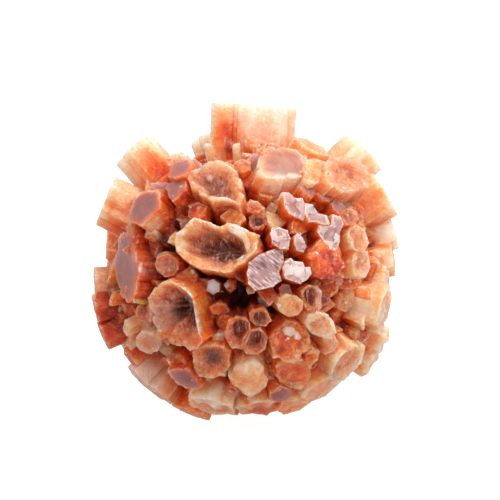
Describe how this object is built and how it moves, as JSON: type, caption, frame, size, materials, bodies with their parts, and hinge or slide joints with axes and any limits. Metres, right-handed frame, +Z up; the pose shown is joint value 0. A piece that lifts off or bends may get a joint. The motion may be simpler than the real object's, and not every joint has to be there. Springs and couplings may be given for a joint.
{
  "type": "aragonite crystal cluster",
  "caption": "Ball of stubby six-sided aragonite crystals with flat and hollow ends, grown together from one centre, that rests on a small flat spot.",
  "frame": {"origin": "centre of the flat spot that the cluster rests on, on the surface it stands on", "axes": "+Z up, away from the flat spot; -Y towards the side that the picture shows; +X to the right seen from there"},
  "size_m": [0.0478, 0.0492, 0.0468],
  "materials": {
    "aragonite": "translucent, red-brown at the roots to cream at the crystals' ends, glassy to waxy lustre"
  },
  "bodies": {
    "root": {"crystal_cluster": "aragonite"}
  },
  "joints": []
}
